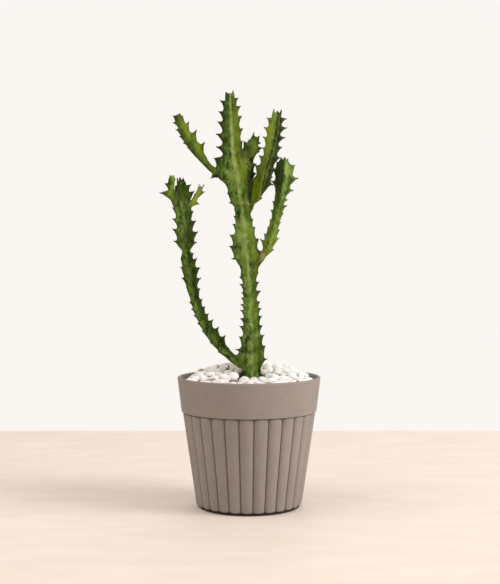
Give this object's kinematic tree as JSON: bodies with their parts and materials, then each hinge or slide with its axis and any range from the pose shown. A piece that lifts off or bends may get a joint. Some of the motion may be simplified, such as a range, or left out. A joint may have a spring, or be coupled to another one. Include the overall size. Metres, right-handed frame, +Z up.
{
  "type": "potted euphorbia",
  "caption": "Branching three-winged succulent with toothed stems, rooted under white pebbles in a tapered pot with a smooth band over a reeded body.",
  "frame": {"origin": "middle of the pot's flat base", "axes": "+Z up along the pot's axis, -Y towards the front, +X to the right seen from the front"},
  "size_m": [0.1622, 0.15, 0.4327],
  "materials": {
    "pot_plastic": "matte",
    "soil": "matte",
    "pebble_stone": "satin",
    "stem_skin": "satin",
    "young_stem_skin": "satin",
    "spine_horn": "satin"
  },
  "bodies": {
    "root": {"pot": "pot_plastic", "potting_soil": "soil", "pebble_bed": "pebble_stone", "main_stem": "stem_skin", "left_branch": "stem_skin", "left_branch_left_shoot": "young_stem_skin", "left_branch_right_shoot": "young_stem_skin", "upper_left_branch": "stem_skin", "centre_shoot": "young_stem_skin", "upper_right_branch": "stem_skin", "right_branch": "stem_skin", "pebble_01": "pebble_stone", "pebble_02": "pebble_stone", "pebble_03": "pebble_stone", "pebble_04": "pebble_stone", "pebble_05": "pebble_stone", "pebble_06": "pebble_stone", "pebble_07": "pebble_stone", "pebble_08": "pebble_stone", "pebble_09": "pebble_stone", "pebble_10": "pebble_stone", "pebble_11": "pebble_stone", "pebble_12": "pebble_stone", "pebble_13": "pebble_stone", "pebble_14": "pebble_stone", "pebble_15": "pebble_stone", "pebble_16": "pebble_stone", "pebble_17": "pebble_stone", "pebble_18": "pebble_stone", "pebble_19": "pebble_stone", "pebble_20": "pebble_stone", "pebble_21": "pebble_stone", "pebble_22": "pebble_stone", "pebble_23": "pebble_stone", "pebble_24": "pebble_stone", "pebble_25": "pebble_stone", "pebble_26": "pebble_stone", "pebble_27": "pebble_stone", "pebble_28": "pebble_stone", "pebble_29": "pebble_stone", "pebble_30": "pebble_stone", "pebble_31": "pebble_stone", "pebble_32": "pebble_stone", "pebble_33": "pebble_stone", "pebble_34": "pebble_stone", "pebble_35": "pebble_stone", "pebble_36": "pebble_stone", "pebble_37": "pebble_stone", "pebble_38": "pebble_stone", "pebble_39": "pebble_stone", "pebble_40": "pebble_stone", "pebble_41": "pebble_stone", "pebble_42": "pebble_stone", "pebble_43": "pebble_stone", "pebble_44": "pebble_stone", "pebble_45": "pebble_stone", "pebble_46": "pebble_stone"}
  },
  "joints": []
}
